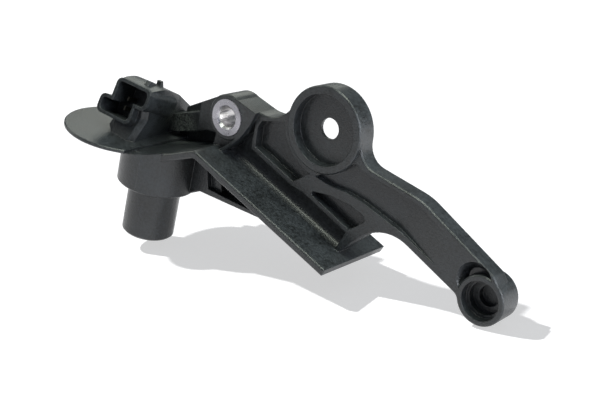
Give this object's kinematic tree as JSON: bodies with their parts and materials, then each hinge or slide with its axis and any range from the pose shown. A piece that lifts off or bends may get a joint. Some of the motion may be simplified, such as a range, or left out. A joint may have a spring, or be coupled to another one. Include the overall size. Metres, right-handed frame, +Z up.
{
  "type": "crankshaft position sensor",
  "caption": "Crankshaft position sensor moulded in one with its bracket: round nose, angled connector socket, metal fixing sleeve, guard strip and a long arm with an eye.",
  "frame": {"origin": "centre of the sensing nose where it leaves the lower face of its collar", "axes": "+Z up the nose axis towards the connector, +X along the bracket towards the end eye, -Y is the front, where the plate shows its pockets"},
  "size_m": [0.1722, 0.0475, 0.075],
  "materials": {
    "black_plastic": "satin, glass-filled",
    "sleeve_steel": "machined",
    "terminal_brass": "plain",
    "bobbin_plastic": "matt",
    "winding_wire": "enamelled wire",
    "pole_iron": "plain",
    "magnet_alloy": "plain"
  },
  "bodies": {
    "root": {"sensor_moulding": "black_plastic", "fixing_sleeve": "sleeve_steel", "upper_terminal": "terminal_brass", "lower_terminal": "terminal_brass", "coil_bobbin": "bobbin_plastic", "coil_winding": "winding_wire", "pole_piece": "pole_iron", "magnet": "magnet_alloy"}
  },
  "joints": []
}
